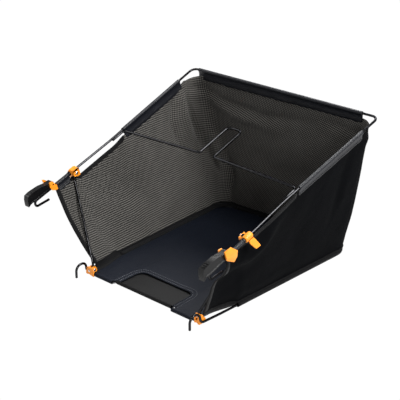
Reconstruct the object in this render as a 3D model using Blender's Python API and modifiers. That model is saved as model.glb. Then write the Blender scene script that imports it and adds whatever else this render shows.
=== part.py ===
"""Folding wire-framed grass catcher for a push reel mower.

Metres, +Z up. +Y points to the rear of the bag, X is left to right, and z = 0 is the ground.
The origin is on the ground, at the middle of the catcher's length and width.

Two places are used to put things:
  - the floor frame, in plain x, y, z, with y counted from FRONT_Y, the line of the front wire;
  - the rail frame, for all that sits on the tilted top frame: s runs up along a rail, n is square
    to it, upwards, and q is the distance outboard of the rail's middle.
"""
import math

import bmesh
import bpy
from mathutils import Matrix, Vector

# ---- Driving dimensions ----
FRONT_Y = -0.2274           # the front cross wire's y
WIRE_R = 0.003              # all frame wires are 6 mm
GAP = 0.0003                # between pieces that touch
SIDES = (("left", -1), ("right", 1))

# Top frame
RAIL_TILT = math.radians(18.66)
RAIL_START = (-0.005, 0.215)     # y from FRONT_Y, and z, of s = 0
RAIL_HALF = 0.281                # half of the spacing of the rails at the front
FLARE_START = 0.190              # s where the rails start to spread
RAIL_END = 0.5435                # s of the rear bar
RAIL_HALF_REAR = 0.2980
HOOK_CORNERS = ((-0.0355, -0.0222), (-0.0765, -0.0150), (-0.0765, 0.0))   # s and n, from the tip
HOOK_BEND = 0.0077

# Floor frame
FLOOR_WIRE_Z = 0.006
FRONT_HALF = 0.1925              # half of the floor frame's width at the front
REAR_HALF = 0.2140
REAR_LENGTH = 0.540
REAR_BOW = 0.013                 # how far the rear wire bows out at its middle
CORNER_R = 0.050
FLOOR_HOOK_X = 0.1885

# Struts: they turn on the lower pins, and their upper ends turn on connectors that slide on the rails
PIN_Y, PIN_Z = 0.007, 0.012      # y from FRONT_Y
STRUT_FOOT_X = 0.177
STRUT_HEAD_X = 0.2715
STRUT_HEAD_S = 0.055
EYE_R = 0.0055
RIVET_R = 0.0022

# Fabric
SLEEVE_T = 0.001
SLEEVE_R = 0.0046
SIDE_SLEEVE = (0.242, 0.4785)
FRONT_SLEEVE = (-0.003, 0.038)
PANEL_T = 0.002
PANEL_FOOT_Z = 0.0135

COLOURS = {
    "black_wire": ((0.010, 0.010, 0.011), 0.25, 0.0),
    "orange_plastic": ((1.0, 0.36, 0.03), 0.40, 0.0),
    "black_plastic": ((0.012, 0.012, 0.013), 0.35, 0.0),
    "steel_rivet": ((0.70, 0.70, 0.72), 0.30, 1.0),
    "coated_fabric": ((0.012, 0.014, 0.022), 0.60, 0.0),
    "mesh_fabric": ((0.070, 0.066, 0.055), 0.85, 0.0),
    "binding_tape": ((0.006, 0.006, 0.007), 0.70, 0.0),
    "stiff_sheet": ((0.020, 0.020, 0.021), 0.50, 0.0),
}


# ---- Scene, materials and collections ----
def clear_scene():
    for obj in list(bpy.data.objects):
        bpy.data.objects.remove(obj, do_unlink=True)


def new_collection(name):
    collection = bpy.data.collections.new(name)
    bpy.context.scene.collection.children.link(collection)
    return collection


def material(name):
    found = bpy.data.materials.get(name)
    if found:
        return found
    colour, roughness, metallic = COLOURS[name]
    made = bpy.data.materials.new(name)
    made.use_nodes = True
    shader = made.node_tree.nodes["Principled BSDF"]
    shader.inputs["Base Color"].default_value = (*colour, 1.0)
    shader.inputs["Roughness"].default_value = roughness
    shader.inputs["Metallic"].default_value = metallic
    return made


def add_object(name, data, slot=None):
    obj = bpy.data.objects.new(name, data)
    PARTS.objects.link(obj)
    if slot:
        data.materials.append(material(slot))
    return obj


def hide(obj):
    """Put a cutter or a joined-in piece out of the model."""
    for collection in list(obj.users_collection):
        collection.objects.unlink(obj)
    CUTTERS.objects.link(obj)
    obj.hide_render = True
    obj.display_type = "WIRE"


# ---- Places ----
def floor_point(x, y, z):
    return Vector((x, FRONT_Y + y, z))


def rail_half(s):
    """Half of the spacing of the rails at s."""
    spread = max(0.0, s - FLARE_START) / (RAIL_END - FLARE_START)
    return RAIL_HALF + (RAIL_HALF_REAR - RAIL_HALF) * spread


def rail_point(side, s, n=0.0, q=0.0):
    along, up = math.cos(RAIL_TILT), math.sin(RAIL_TILT)
    y, z = RAIL_START
    return floor_point(side * (rail_half(s) + q), y + s * along - n * up, z + s * up + n * along)


def side_matrix(x, y, z, tilt=0.0):
    """A frame whose local X runs rearwards, tilted up, local Y up, and local Z to world +X."""
    c, s = math.cos(tilt), math.sin(tilt)
    turn = Matrix(((0, 0, 1), (c, -s, 0), (s, c, 0))).to_4x4()
    return Matrix.Translation((x, y, z)) @ turn


def rail_matrix(side, q):
    """side_matrix on the rail's own s and n, at q outboard of the rail."""
    origin = rail_point(side, 0.0)
    return side_matrix(side * (RAIL_HALF + q), origin.y, origin.z, RAIL_TILT)


def floor_matrix(x):
    return side_matrix(x, FRONT_Y, 0.0)


# ---- Shapes ----
def rounded_path(corners, radii, steps=5):
    """The corners joined by straight runs, each inner corner rounded to its own radius."""
    path = [Vector(corners[0])]
    for before, corner, after, radius in zip(corners, corners[1:], corners[2:], radii):
        corner = Vector(corner)
        back = (Vector(before) - corner).normalized()
        on = (Vector(after) - corner).normalized()
        half = back.angle(on) / 2
        reach = radius / math.tan(half)
        centre = corner + (back + on).normalized() * radius / math.sin(half)
        first, last = corner + back * reach - centre, corner + on * reach - centre
        sweep = first.angle(last)
        for i in range(steps + 1):
            t = i / steps
            arc = first * math.sin((1 - t) * sweep) + last * math.sin(t * sweep)
            path.append(centre + arc / math.sin(sweep))
    path.append(Vector(corners[-1]))
    return path


def mirrored(right_half, bridge=()):
    """A path from the right side, across the middle, to the left side."""
    left_half = [Vector((-p[0], p[1], p[2])) for p in reversed(right_half)]
    return [Vector(p) for p in right_half] + [Vector(p) for p in bridge] + left_half


def wire(name, path, slot="black_wire", radius=WIRE_R, caps=True, resolution=2):
    curve = bpy.data.curves.new(name, "CURVE")
    curve.dimensions = "3D"
    curve.bevel_depth = radius
    curve.bevel_resolution = resolution
    curve.use_fill_caps = caps
    spline = curve.splines.new("POLY")
    spline.points.add(len(path) - 1)
    for point, place in zip(spline.points, path):
        point.co = (*place, 1.0)
    return add_object(name, curve, slot)


def as_mesh(obj):
    """Turn a curve object into a mesh object with its caps welded on."""
    bpy.context.view_layer.update()
    evaluated = obj.evaluated_get(bpy.context.evaluated_depsgraph_get())
    mesh = bpy.data.meshes.new_from_object(evaluated)
    bm = bmesh.new()
    bm.from_mesh(mesh)
    bmesh.ops.remove_doubles(bm, verts=bm.verts, dist=1e-6)
    bmesh.ops.recalc_face_normals(bm, faces=bm.faces)
    bm.to_mesh(mesh)
    bm.free()
    name, matrix = obj.name, obj.matrix_world.copy()
    bpy.data.objects.remove(obj, do_unlink=True)
    made = add_object(name, mesh)
    made.matrix_world = matrix
    return made


def solidify(obj, thickness, offset):
    shell = obj.modifiers.new("thickness", "SOLIDIFY")
    shell.thickness = thickness
    shell.offset = offset
    return obj


def tube_sleeve(name, path, outer, wall, slot):
    """A tube of fabric round a wire, open at both ends."""
    tube = as_mesh(wire(name, path, slot, radius=outer, caps=False))
    return solidify(tube, wall, -1)


def surface(name, rows, slot, thickness, offset=0.0):
    """A sheet through rows of points, thickened."""
    bm = bmesh.new()
    grid = [[bm.verts.new(p) for p in row] for row in rows]
    for row, above in zip(grid, grid[1:]):
        for a, b, c, d in zip(row, row[1:], above[1:], above):
            bm.faces.new((a, b, c, d))
    mesh = bpy.data.meshes.new(name)
    bm.to_mesh(mesh)
    bm.free()
    return solidify(add_object(name, mesh, slot), thickness, offset)


def plate(name, outline, thickness, matrix, slot):
    """A flat piece: an outline in the local XY plane, centred on it in thickness."""
    curve = bpy.data.curves.new(name, "CURVE")
    curve.dimensions = "2D"
    curve.fill_mode = "BOTH"
    curve.extrude = thickness / 2
    spline = curve.splines.new("POLY")
    spline.points.add(len(outline) - 1)
    for point, (x, y) in zip(spline.points, outline):
        point.co = (x, y, 0.0, 1.0)
    spline.use_cyclic_u = True
    obj = add_object(name, curve, slot)
    obj.matrix_world = matrix
    return as_mesh(obj)


def cylinder(name, start, end, radius, slot, segments=20):
    """A closed cylinder from one point to another."""
    start, end = Vector(start), Vector(end)
    axis = end - start
    bm = bmesh.new()
    bmesh.ops.create_cone(bm, cap_ends=True, segments=segments, radius1=radius, radius2=radius,
                          depth=axis.length)
    mesh = bpy.data.meshes.new(name)
    bm.to_mesh(mesh)
    bm.free()
    obj = add_object(name, mesh, slot)
    turn = Vector((0, 0, 1)).rotation_difference(axis).to_matrix().to_4x4()
    obj.matrix_world = Matrix.Translation((start + end) / 2) @ turn
    return obj


def combine(name, pieces, cutters=()):
    """Join the pieces into one solid named name, and cut the cutters out of it."""
    body = pieces[0]
    for other, operation in [(p, "UNION") for p in pieces[1:]] + [(c, "DIFFERENCE") for c in cutters]:
        step = body.modifiers.new(operation.lower(), "BOOLEAN")
        step.operation = operation
        step.object = other
        hide(other)
    body.name = name
    if not body.data.materials:
        raise ValueError(name + " has no material")
    return body


def disc_outline(x, y, radius, start, end, count=8):
    """Points of an arc round (x, y), from start to end degrees."""
    angles = [math.radians(start + (end - start) * i / count) for i in range(count + 1)]
    return [(x + radius * math.cos(a), y + radius * math.sin(a)) for a in angles]


# ---- Floor frame ----
def floor_half(y):
    """Half of the floor frame's width at y."""
    return FRONT_HALF + (REAR_HALF - FRONT_HALF) * y / REAR_LENGTH


def floor_wire_path():
    """From the right front hook, round the floor, to the left front hook."""
    z = FLOOR_WIRE_Z
    corners = [
        (FLOOR_HOOK_X, -0.0360, 0.001), (FLOOR_HOOK_X, -0.0360, 0.0325), (FLOOR_HOOK_X, -0.0045, 0.0325),
        (FRONT_HALF - 0.002, -0.001, z), (floor_half(0.06), 0.06, z), (REAR_HALF, REAR_LENGTH, z),
    ]
    corners = mirrored([floor_point(*c) for c in corners],
                       bridge=[floor_point(0, REAR_LENGTH + REAR_BOW, z)])
    radii = [0.0154, 0.0154, 0.0105, 0.05, CORNER_R, 1.0, CORNER_R, 0.05, 0.0105, 0.0154, 0.0154]
    return rounded_path(corners, radii)


def floor_wire_stretch(y_start, y_end, side, steps=6):
    """Points on one side of the floor wire, between two places along it."""
    ys = [y_start + (y_end - y_start) * i / steps for i in range(steps + 1)]
    return [floor_point(side * floor_half(y), y, FLOOR_WIRE_Z) for y in ys]


CROSS_WIRE_Z = 0.0058
CROSS_WIRE_END = 0.1695
CROSS_WIRE_SET = ((0.0985, 0.0), (0.0925, 0.009))   # x and y where the middle is set back
STIFFENER_HALF = 0.0905
HEM_SPAN = (0.1005, 0.160)
CUT_OUT_HALF = 0.088
CUT_OUT_DEPTH = 0.090
FLOOR_FRONT = 0.0065
FLOOR_INSET = 0.0066
CONNECTOR_REAR = 0.0175          # the rear end of the lower connectors' clamps
LOW_SLEEVE_R = 0.006
LOW_SLEEVE_SPAN = (0.118, 0.455)
REAR_LOW_SLEEVE_HALF = 0.150


def build_floor_frame():
    wire("floor_frame_wire", floor_wire_path())
    right = [(CROSS_WIRE_END, 0.0), *CROSS_WIRE_SET]
    path = mirrored([floor_point(x, y, CROSS_WIRE_Z) for x, y in right])
    wire("front_cross_wire", rounded_path(path, [0.004] * 4))


def floor_outline():
    """Half of the floor sheet's outline, from the cut-out to the middle of the rear edge."""
    front, inset = FLOOR_FRONT, FLOOR_INSET
    rear = REAR_LENGTH - inset
    corner = CORNER_R - inset
    cut = [(0.0, CUT_OUT_DEPTH)]
    cut += disc_outline(CUT_OUT_HALF - 0.022, CUT_OUT_DEPTH - 0.018, 0.018, 90, 0, 5)
    notch_y = CONNECTOR_REAR + 0.001
    clear_y = CROSS_WIRE_SET[1][1] + 0.0045
    cut += [(CUT_OUT_HALF, clear_y), (0.0985, clear_y), (0.1045, front), (0.161, front), (0.167, notch_y)]
    cut += [(floor_half(notch_y) - inset, notch_y)]
    corner_x = REAR_HALF - inset - corner - 0.002
    edge = disc_outline(corner_x, rear - corner, corner, 0, 90, 6)
    return cut + edge + [(0.0, rear + REAR_BOW * 0.7)]


def build_floor_fabric():
    half = floor_outline()
    whole = half + [(-x, y) for x, y in reversed(half[1:-1])]
    plate("floor_sheet", whole, 0.0015, Matrix.Translation((0, FRONT_Y, 0.0038)), "coated_fabric")

    lip_r = WIRE_R + GAP + 0.0005
    curl = [(math.radians(a)) for a in range(-90, -271, -30)]
    wire_y = CROSS_WIRE_SET[1][1]
    profile = [(0.125, CROSS_WIRE_Z - lip_r)]
    profile += [(wire_y + lip_r * math.cos(a), CROSS_WIRE_Z + lip_r * math.sin(a)) for a in curl]
    rows = [[floor_point(x, y, z) for y, z in profile] for x in (-STIFFENER_HALF, 0.0, STIFFENER_HALF)]
    surface("floor_stiffener", rows, "stiff_sheet", 0.0012, -1.0)

    for label, side in SIDES:
        hem = [floor_point(side * x, 0.0, CROSS_WIRE_Z) for x in HEM_SPAN]
        tube_sleeve("front_hem_" + label, hem, 0.0055, 0.002, "coated_fabric")
        low = floor_wire_stretch(*LOW_SLEEVE_SPAN, side)
        tube_sleeve("floor_sleeve_" + label, low, LOW_SLEEVE_R, 0.0022, "coated_fabric")
    xs = [REAR_LOW_SLEEVE_HALF * i / 6 for i in range(-6, 7)]
    rear = [floor_point(x, rear_sleeve_y(x), FLOOR_WIRE_Z) for x in xs]
    tube_sleeve("floor_sleeve_rear", rear, LOW_SLEEVE_R, 0.0022, "coated_fabric")


def rear_sleeve_y(x):
    """y of the rear wire's rounded bow, read from the wire's own path."""
    best = None
    path = floor_wire_path()
    for a, b in zip(path, path[1:]):
        if b.x <= x <= a.x and a.y > FRONT_Y + REAR_LENGTH - CORNER_R:
            t = (a.x - x) / max(a.x - b.x, 1e-9)
            best = a.y + (b.y - a.y) * t
    return best - FRONT_Y


# ---- Lower connectors: clevises clamped to the floor wire ----
EAR_T = 0.003
FOOT_EAR_INNER = STRUT_FOOT_X - 0.0051
FOOT_EAR_OUTER = STRUT_FOOT_X + 0.0051
FOOT_EAR_R = 0.0085
WIRE_CLEARANCE = 0.0004


def build_lower_connector(label, side):
    slot = "orange_plastic"
    ear = disc_outline(PIN_Y, PIN_Z, FOOT_EAR_R, 0, 180, 10)
    ear += [(PIN_Y - FOOT_EAR_R, 0.0006), (PIN_Y + FOOT_EAR_R, 0.0006)]
    pieces = []
    for x in (FOOT_EAR_INNER, FOOT_EAR_OUTER):
        pieces.append(plate("ear_" + label, ear, EAR_T, floor_matrix(side * x), slot))
    inner, outer = FOOT_EAR_INNER - EAR_T / 2, FOOT_EAR_OUTER + EAR_T / 2
    middle = side * (inner + outer) / 2
    web = [(PIN_Y - 0.0078, 0.0012), (PIN_Y + 0.0078, 0.0012), (PIN_Y + 0.0078, 0.0044),
           (PIN_Y - 0.0050, 0.0044), (PIN_Y - 0.0078, 0.0082)]
    pieces.append(plate("web_" + label, web, outer - inner - 0.002, floor_matrix(middle), slot))
    rear = CONNECTOR_REAR
    clamp = [(-0.0035, 0.0009), (rear, 0.0009), (rear, 0.0112), (0.0125, 0.0133),
             (0.0040, 0.0168), (-0.0035, 0.0192)]
    clamp_from, clamp_to = outer - 0.0012, FRONT_HALF + 0.0012
    clamp_x, clamp_w = (clamp_from + clamp_to) / 2, clamp_to - clamp_from
    pieces.append(plate("clamp_" + label, clamp, clamp_w, floor_matrix(side * clamp_x), slot))

    channel = wire("channel_" + label, floor_wire_path(), radius=WIRE_R + WIRE_CLEARANCE)
    y, z = FRONT_Y + PIN_Y, PIN_Z
    bore = cylinder("bore_" + label, (side * (inner - 0.002), y, z), (side * (outer + 0.001), y, z),
                    RIVET_R + GAP, slot)
    combine("lower_connector_" + label, pieces, [as_mesh(channel), bore])

    head = cylinder("head_" + label, (side * (inner - 0.0022), y, z), (side * (inner - GAP), y, z),
                    0.0042, "steel_rivet")
    shank = cylinder("shank_" + label, (side * (inner - 0.001), y, z), (side * (outer + 0.0006), y, z),
                     RIVET_R, "steel_rivet")
    combine("lower_rivet_" + label, [head, shank])


# ---- Struts ----
def strut_ends(side):
    foot = floor_point(side * STRUT_FOOT_X, PIN_Y, PIN_Z)
    head = rail_point(side, STRUT_HEAD_S)
    head.x = side * STRUT_HEAD_X
    return foot, head


def build_strut(label, side):
    foot, head = strut_ends(side)
    along = (head - foot).normalized()
    flat = Vector((0, along.y, along.z)).normalized()
    path = [foot + flat * 0.003, foot + flat * 0.012, head - flat * 0.016, head - flat * 0.003]
    rod = as_mesh(wire("rod_" + label, rounded_path(path, [0.03, 0.03], steps=3)))
    rod.data.materials.append(material("black_wire"))
    pieces, cutters = [rod], []
    for i, end in enumerate((foot, head)):
        half = Vector((WIRE_R, 0, 0))
        pieces.append(cylinder(f"eye_{i}_{label}", end - half, end + half, EYE_R, "black_wire"))
        cutters.append(cylinder(f"hole_{i}_{label}", end - half * 2, end + half * 2,
                                RIVET_R + GAP, "black_wire"))
    combine("strut_" + label, pieces, cutters)


# ---- Upper connectors: they slide on the rails ----
BARREL_R = 0.008
BARREL_SPAN = (0.046, 0.068)
BORE_R = WIRE_R + WIRE_CLEARANCE
INNER_PLATE_Q = STRUT_HEAD_X - RAIL_HALF - 0.0053
BARREL_FLAT_Q = STRUT_HEAD_X - RAIL_HALF + WIRE_R + GAP   # the barrel is flat beside the strut's eye
WING_LEAN = 27.5
STOP_SPAN = (0.0400, 0.0450)


def build_upper_connector(label, side):
    slot = "orange_plastic"
    s0, s1 = BARREL_SPAN
    barrel = cylinder("barrel_" + label, rail_point(side, s0), rail_point(side, s1), BARREL_R, slot, 24)
    cheek = [(0.0455, -0.0052), (0.0610, -0.0112), (0.0645, -0.0105), (0.0655, 0.0085), (0.0635, 0.0105),
             (0.0480, 0.0105), (0.0460, 0.0085)]
    inner = plate("cheek_" + label, cheek, EAR_T, rail_matrix(side, INNER_PLATE_Q), slot)
    roof = [(s0, 0.0067), (0.0650, 0.0067), (0.0650, 0.0085), (0.0630, 0.0105), (0.0480, 0.0105),
            (s0, 0.0085)]
    roof_q = (INNER_PLATE_Q - EAR_T / 2, 0.001)
    bridge = plate("roof_" + label, roof, roof_q[1] - roof_q[0], rail_matrix(side, sum(roof_q) / 2),
                   slot)
    wing_root = rail_matrix(side, BARREL_R - 0.0020)
    lean = Matrix.Rotation(side * math.radians(-WING_LEAN), 4, "X")
    tab = [(0.0485, 0.002), (0.0665, 0.002), (0.0670, -0.009), (0.0702, -0.0285), (0.0690, -0.0300),
           (0.0560, -0.0285), (0.0552, -0.0270), (0.0490, -0.009)]
    wing = plate("wing_" + label, tab, 0.0028, wing_root @ lean, slot)

    rail_bore = cylinder("rail_bore_" + label, rail_point(side, s0 - 0.02), rail_point(side, s1 + 0.02),
                         BORE_R, slot, 16)
    foot, head = strut_ends(side)
    reach = Vector((side, 0, 0))
    rivet_bore = cylinder("rivet_bore_" + label, head - reach * 0.014, head + reach * 0.0055,
                          RIVET_R + GAP, slot)
    room = [(s0 - 0.002, -0.010), (s1 + 0.002, -0.010), (s1 + 0.002, 0.0058), (s0 - 0.002, 0.0058)]
    room_q = (INNER_PLATE_Q + EAR_T / 2, BARREL_FLAT_Q)
    pocket = plate("pocket_" + label, room, room_q[1] - room_q[0], rail_matrix(side, sum(room_q) / 2), slot)
    combine("upper_connector_" + label, [barrel, inner, bridge, wing], [rail_bore, rivet_bore, pocket])

    cheek_face = RAIL_HALF + INNER_PLATE_Q - EAR_T / 2
    outer_end = head + reach * 0.0051
    face = Vector((side * (cheek_face - GAP), head.y, head.z))
    rivet_head = cylinder("rivet_head_" + label, face, face - reach * 0.0020, 0.0042, "steel_rivet")
    shank = cylinder("rivet_shank_" + label, face - reach * 0.001, outer_end, RIVET_R, "steel_rivet")
    combine("upper_rivet_" + label, [rivet_head, shank])


# ---- Top frame ----
HANDLE_HALF = 0.0225
HANDLE_WELD = (0.197, 0.237)
HANDLE_CROSS_S = 0.2485
HANDLE_END_S = 0.3605
HANDLE_RISE = 0.003


def build_top_frame():
    right = [rail_point(1, *corner) for corner in HOOK_CORNERS]
    right += [rail_point(1, FLARE_START), rail_point(1, RAIL_END)]
    radii = [HOOK_BEND, HOOK_BEND, 0.15, 0.016]
    wire("top_frame_wire", rounded_path(mirrored(right), radii + radii[::-1]))

    beside = -(2 * WIRE_R + GAP)
    right = [rail_point(1, HANDLE_WELD[0], q=beside), rail_point(1, HANDLE_WELD[1] + 0.004, q=beside),
             rail_point(1, HANDLE_CROSS_S, HANDLE_RISE), rail_point(1, HANDLE_END_S, HANDLE_RISE)]
    for corner in right[2:]:
        corner.x = HANDLE_HALF
    radii = [0.010, 0.007, 0.012]
    wire("handle_wire", rounded_path(mirrored(right), radii + radii[::-1]))

    for label, side in SIDES:
        tube_sleeve("stop_ring_" + label, [rail_point(side, s) for s in STOP_SPAN], 0.0055, 0.0020,
                    "black_wire")


# ---- Front clips and latch levers ----
LATCH_PIN = (-0.017, 0.014)      # s and n of the latch levers' pins
LATCH_PIN_R = 0.0018
INNER_EAR_Q = -0.0092
OUTER_EAR_Q = 0.0112
CLIP_BLOCK = (-0.0125, -0.0070)
LATCH_Q = (-0.0068, 0.0080)
LATCH_WALL = 0.0022


def build_front_clip(label, side):
    slot = "orange_plastic"
    inner = [(-0.0290, 0.0130), (-0.0260, 0.0255), (-0.0140, 0.0225), (-0.0100, 0.0120), (-0.0075, 0.0040),
             (-0.0075, -0.0058), (-0.0130, -0.0058), (-0.0250, 0.0005)]
    outer = [(-0.0280, 0.0042), (-0.0280, 0.0280), (-0.0060, 0.0250), (0.0078, 0.0060), (0.0034, -0.0088),
             (-0.0090, -0.0146)]
    base = [(CLIP_BLOCK[0], -0.0062), (CLIP_BLOCK[1], -0.0062), (CLIP_BLOCK[1], 0.0062),
            (CLIP_BLOCK[0], 0.0062)]
    low_q, high_q = INNER_EAR_Q - EAR_T / 2, OUTER_EAR_Q + EAR_T / 2
    pieces = [
        plate("inner_ear_" + label, inner, EAR_T, rail_matrix(side, INNER_EAR_Q), slot),
        plate("outer_ear_" + label, outer, EAR_T, rail_matrix(side, OUTER_EAR_Q), slot),
        plate("base_" + label, base, high_q - low_q - 0.001, rail_matrix(side, (low_q + high_q) / 2),
              slot),
    ]
    rail_bore = cylinder("clip_bore_" + label, rail_point(side, -0.05), rail_point(side, 0.02), BORE_R,
                         slot, 16)
    pin_from = rail_point(side, *LATCH_PIN, q=low_q - 0.004)
    pin_to = rail_point(side, *LATCH_PIN, q=high_q + 0.004)
    pin_bore = cylinder("pin_bore_" + label, pin_from, pin_to, LATCH_PIN_R + GAP, slot)
    combine("front_clip_" + label, pieces, [rail_bore, pin_bore])
    cylinder("latch_pin_" + label, rail_point(side, *LATCH_PIN, q=low_q - 0.0008),
             rail_point(side, *LATCH_PIN, q=high_q + 0.0008), LATCH_PIN_R, "black_plastic")


def build_latch_lever(label, side):
    slot = "black_plastic"
    pin_s, pin_n = LATCH_PIN
    knuckle = disc_outline(pin_s, pin_n, 0.0066, -95, 85, 8)
    outline = knuckle + [(-0.0300, 0.0215), (-0.0490, 0.0270), (-0.0680, 0.0292), (-0.0800, 0.0300),
                         (-0.0915, 0.0285), (-0.0960, 0.0200), (-0.0985, 0.0080), (-0.0990, 0.0020),
                         (-0.0935, 0.0045), (-0.0880, 0.0058), (-0.0740, 0.0042), (-0.0240, 0.0042)]
    pocket = [(-0.0270, 0.0), (-0.0270, 0.0175), (-0.0490, 0.0240), (-0.0680, 0.0263), (-0.0800, 0.0270),
              (-0.0900, 0.0255), (-0.0932, 0.0190), (-0.0950, 0.0110), (-0.0950, 0.0)]
    low_q, high_q = LATCH_Q
    middle = rail_matrix(side, (low_q + high_q) / 2)
    shell = plate("shell_" + label, outline, high_q - low_q, middle, slot)
    hollow = plate("pocket_" + label, pocket, high_q - low_q - 2 * LATCH_WALL, middle, slot)
    bore = cylinder("lever_bore_" + label, rail_point(side, pin_s, pin_n, low_q - 0.004),
                    rail_point(side, pin_s, pin_n, high_q + 0.004), LATCH_PIN_R + GAP, slot)
    combine("latch_lever_" + label, [shell], [hollow, bore])


# ---- The bag ----
PANEL_S = (-0.002, 0.5305)
PANEL_FOOT_Y = (0.033, 0.497)
FRONT_DROP, REST_DROP = 0.0205, 0.0285   # the panel's top edge below the rail, in front and behind
DROP_STEP = (0.036, 0.048)               # between these the top edge steps down
BINDING_R = 0.0022
REAR_SLEEVE_X = (0.250, 0.120, -0.010, -0.140, -0.275)


def panel_share(s):
    return (s - PANEL_S[0]) / (PANEL_S[1] - PANEL_S[0])


def panel_foot(side, u):
    """The lower edge of a side panel at share u of its length."""
    y = PANEL_FOOT_Y[0] + (PANEL_FOOT_Y[1] - PANEL_FOOT_Y[0]) * u
    return floor_point(side * (floor_half(y) - 0.0002), y, PANEL_FOOT_Z)


def fall_line(side, s):
    """The way that the fabric runs down from the rail at s."""
    return (panel_foot(side, panel_share(s)) - rail_point(side, s)).normalized()


def panel_drop(s):
    """How far below the rail the side panel's top edge is."""
    start, end = DROP_STEP
    t = min(1.0, max(0.0, (s - start) / (end - start)))
    return FRONT_DROP + (REST_DROP - FRONT_DROP) * t


def panel_stations():
    """Shares of a side panel's length, with the step in its top edge among them."""
    start, end = DROP_STEP
    rest = [end + (PANEL_S[1] - end) * i / 10 for i in range(11)]
    return [panel_share(s) for s in [PANEL_S[0], start] + rest]


def panel_point(side, u, v):
    """A point of a side panel: u from front to rear, v from the top edge to the floor."""
    s = PANEL_S[0] + (PANEL_S[1] - PANEL_S[0]) * u
    top = rail_point(side, s) + fall_line(side, s) * panel_drop(s)
    foot = panel_foot(side, u)
    point = top.lerp(foot, v)
    point.y = top.y + (foot.y - top.y) * v ** (2 - u)
    return point


def rail_hem(name, side, span, depth):
    """A strip of fabric folded over the rail and sewn shut below it."""
    rows = []
    steps = 4
    for i in range(steps + 1):
        s = span[0] + (span[1] - span[0]) * i / steps
        down = fall_line(side, s)
        middle = rail_point(side, s)
        along = (rail_point(side, s + 0.01) - rail_point(side, s - 0.01)).normalized()
        down = (down - along * down.dot(along)).normalized()
        across = along.cross(down)
        rows.append(hem_section(middle, down, across, depth))
    return surface(name, rows, "coated_fabric", SLEEVE_T, -1.0)


def hem_section(middle, down, across, depth):
    """The outer outline of a folded hem round a wire: up one side, round the wire, down the other."""
    leg = 0.0013
    points = [middle + down * depth - across * leg, middle + down * 0.008 - across * leg * 1.4]
    for i in range(7):
        a = math.radians(-150 + 300 * i / 6)
        points.append(middle - down * SLEEVE_R * math.cos(a) + across * SLEEVE_R * math.sin(a))
    points += [middle + down * 0.008 + across * leg * 1.4, middle + down * depth + across * leg]
    return points


def back_edges(steps=8):
    """The top and the lower edge of the back panel, from the right to the left."""
    top_right = [(RAIL_HALF_REAR - 0.0055, RAIL_END - 0.020), (RAIL_HALF_REAR - 0.010, RAIL_END - 0.002),
                 (RAIL_HALF_REAR - 0.030, RAIL_END)]
    foot_right = [(0.2072, 0.502), (0.1997, 0.520), (0.1752, 0.5375)]
    tops = [rail_point(1, s, -0.0285) for _, s in top_right]
    for top, (x, _) in zip(tops, top_right):
        top.x = x
    feet = [floor_point(x, y, PANEL_FOOT_Z) for x, y in foot_right]
    for i in range(1, steps // 2 + 1):
        t = i / (steps // 2)
        tops.append(Vector((tops[2].x * (1 - t), tops[2].y, tops[2].z)))
        feet.append(floor_point(0.1752 * (1 - t), 0.5375 + 0.010 * t, PANEL_FOOT_Z))
    return mirrored(tops[:-1], [tops[-1]]), mirrored(feet[:-1], [feet[-1]])


def build_bag():
    for label, side in SIDES:
        rows = [[panel_point(side, u, j / 6) for j in range(7)] for u in panel_stations()]
        surface("side_panel_" + label, rows, "mesh_fabric", PANEL_T)
        rail_hem("front_sleeve_" + label, side, FRONT_SLEEVE, 0.017)
        rail_hem("side_sleeve_" + label, side, SIDE_SLEEVE, 0.025)

        edge = [panel_point(side, 0.0, j / 8) for j in range(9)]
        for point in edge:
            point.y -= 0.0040
        wire("front_binding_" + label, edge, "binding_tape", BINDING_R)
        spread = [0.050 + 0.186 * i / 8 for i in range(9)]
        edge = [rail_point(side, s) + fall_line(side, s) * (REST_DROP - 0.0040) for s in spread]
        wire("top_binding_" + label, edge, "binding_tape", BINDING_R)

    tops, feet = back_edges()
    rows = [[top.lerp(foot, j / 5) for j in range(6)] for top, foot in zip(tops, feet)]
    surface("back_panel", rows, "mesh_fabric", PANEL_T)

    bar = rail_point(1, RAIL_END)
    down = Vector((0, 0.15, -1)).normalized()
    rows = [hem_section(Vector((x, bar.y, bar.z)), down, Vector((1, 0, 0)).cross(down), 0.025)
            for x in REAR_SLEEVE_X]
    surface("rear_sleeve", rows, "coated_fabric", SLEEVE_T, -1.0)


clear_scene()
PARTS = new_collection("grass_catcher")
CUTTERS = new_collection("cutters")
build_floor_frame()
build_floor_fabric()
build_top_frame()
for label, side in SIDES:
    build_lower_connector(label, side)
    build_strut(label, side)
    build_upper_connector(label, side)
    build_front_clip(label, side)
    build_latch_lever(label, side)
build_bag()
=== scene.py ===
"""Looks of the folding grass catcher: cloth, wires, moulded fittings, materials, light and camera.

Metres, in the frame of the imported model: +Y to the rear of the bag, +X to its right, z = 0 the ground.
s runs up along a rail, n is square to it, upwards, and q is the distance outboard of the rail.
"""
import math

import bmesh
import bpy
from mathutils import Matrix, Vector, noise


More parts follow.
